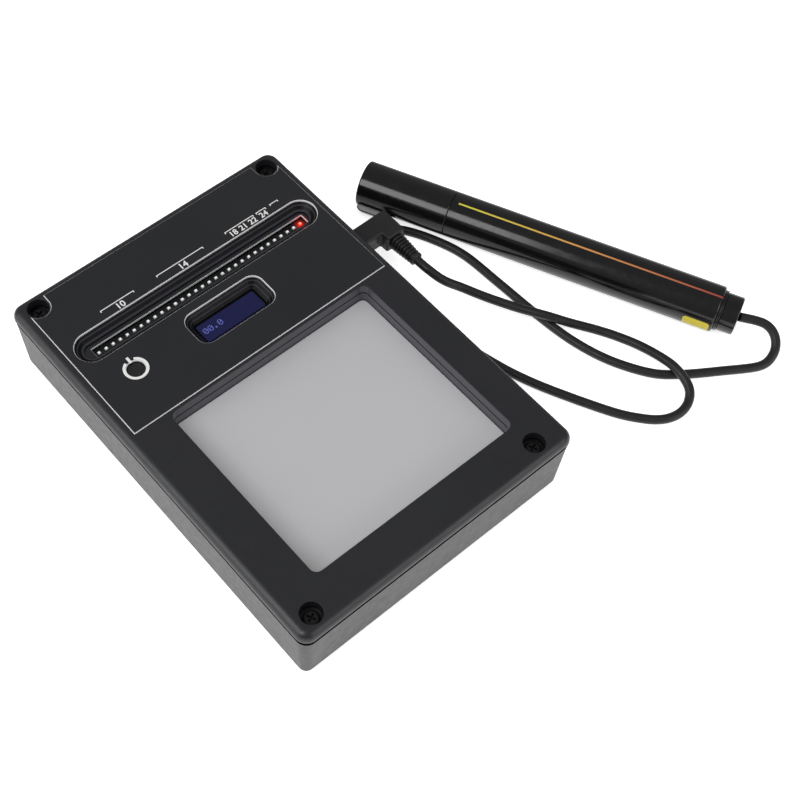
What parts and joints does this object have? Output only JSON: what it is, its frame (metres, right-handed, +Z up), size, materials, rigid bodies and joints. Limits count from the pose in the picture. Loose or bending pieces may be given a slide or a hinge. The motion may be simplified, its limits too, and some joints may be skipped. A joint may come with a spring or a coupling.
{
  "type": "electronic gold tester",
  "caption": "Counter-top electronic gold tester: flat two-part case with a sunken test tray, lamp scale, display and start button, with a capped marker-style probe on a plug-in lead.",
  "frame": {"origin": "middle of the whole set's box, without the lead's cord and plug, on the table under the rubber feet", "axes": "+X from the case towards the probe beside it, along the lamp scale; +Y from the test tray towards the lamp scale's end; +Z up"},
  "size_m": [0.2025, 0.1634, 0.0298],
  "materials": {
    "case_plastic": "fine moulded texture, black-grey",
    "faced_laminate": "satin black face over a white core",
    "display_filter": "dark blue translucent filter",
    "lamp_white": "white lamp bodies",
    "button_plastic": "satin black",
    "plate_metal": "fine satin",
    "screw_black": "black oxide",
    "screw_zinc": "zinc plated",
    "spring_metal": "plated leaf",
    "pin_metal": "nickel plated",
    "circuit_board": "green solder mask",
    "component_plastic": "moulded black",
    "battery_can": "plain wrapped can",
    "foot_rubber": "soft black",
    "cord_rubber": "soft PVC jacket, satin",
    "plug_rubber": "moulded PVC",
    "probe_gloss": "glossy black",
    "probe_grey": "grey moulded grip",
    "felt": "dense felt"
  },
  "bodies": {
    "case": {"base_shell": "case_plastic", "lid": "case_plastic", "lid_screws": "screw_black", "rubber_feet": "foot_rubber", "battery": "battery_can", "battery_snap": "component_plastic", "test_plate": "plate_metal", "plate_contact": "spring_metal", "faced_panel": "faced_laminate", "slot_strip": "faced_laminate", "front_board": "circuit_board", "lamps": "lamp_white", "display_glass": "display_filter", "tact_switch": "component_plastic", "front_board_screws": "screw_zinc", "board_link": "component_plastic", "main_board": "circuit_board", "board_parts": "component_plastic", "main_board_screws": "screw_zinc", "probe_socket": "component_plastic"},
    "button": {"start_button": "button_plastic", "switch_plunger": "component_plastic"},
    "door": {"battery_door": "case_plastic"},
    "lead": {"plug_moulding": "plug_rubber", "plug_pin": "pin_metal", "cord": "cord_rubber", "pen_tail": "probe_gloss", "pen_ring": "pin_metal", "pen_barrel": "probe_gloss", "pen_nose": "probe_grey", "felt_tip": "felt", "gel_tube": "felt", "electrode": "pin_metal"},
    "cap": {"pen_cap": "probe_gloss"}
  },
  "joints": [
    {"name": "button_press", "type": "slide", "parent": "case", "child": "button", "axis": [0, 0, -1], "range_m": [0, 0.0005], "stiffness_N_per_m": 800},
    {"name": "door_slide", "type": "slide", "parent": "case", "child": "door", "axis": [0, 1, 0], "range_m": [0, 0.058]},
    {"name": "lead_pull", "type": "slide", "parent": "case", "child": "lead", "axis": [1, 0, 0], "range_m": [0, 0.016]},
    {"name": "cap_pull", "type": "slide", "parent": "lead", "child": "cap", "axis": [-0.4296, 0.903, 0], "range_m": [0, 0.034]}
  ]
}
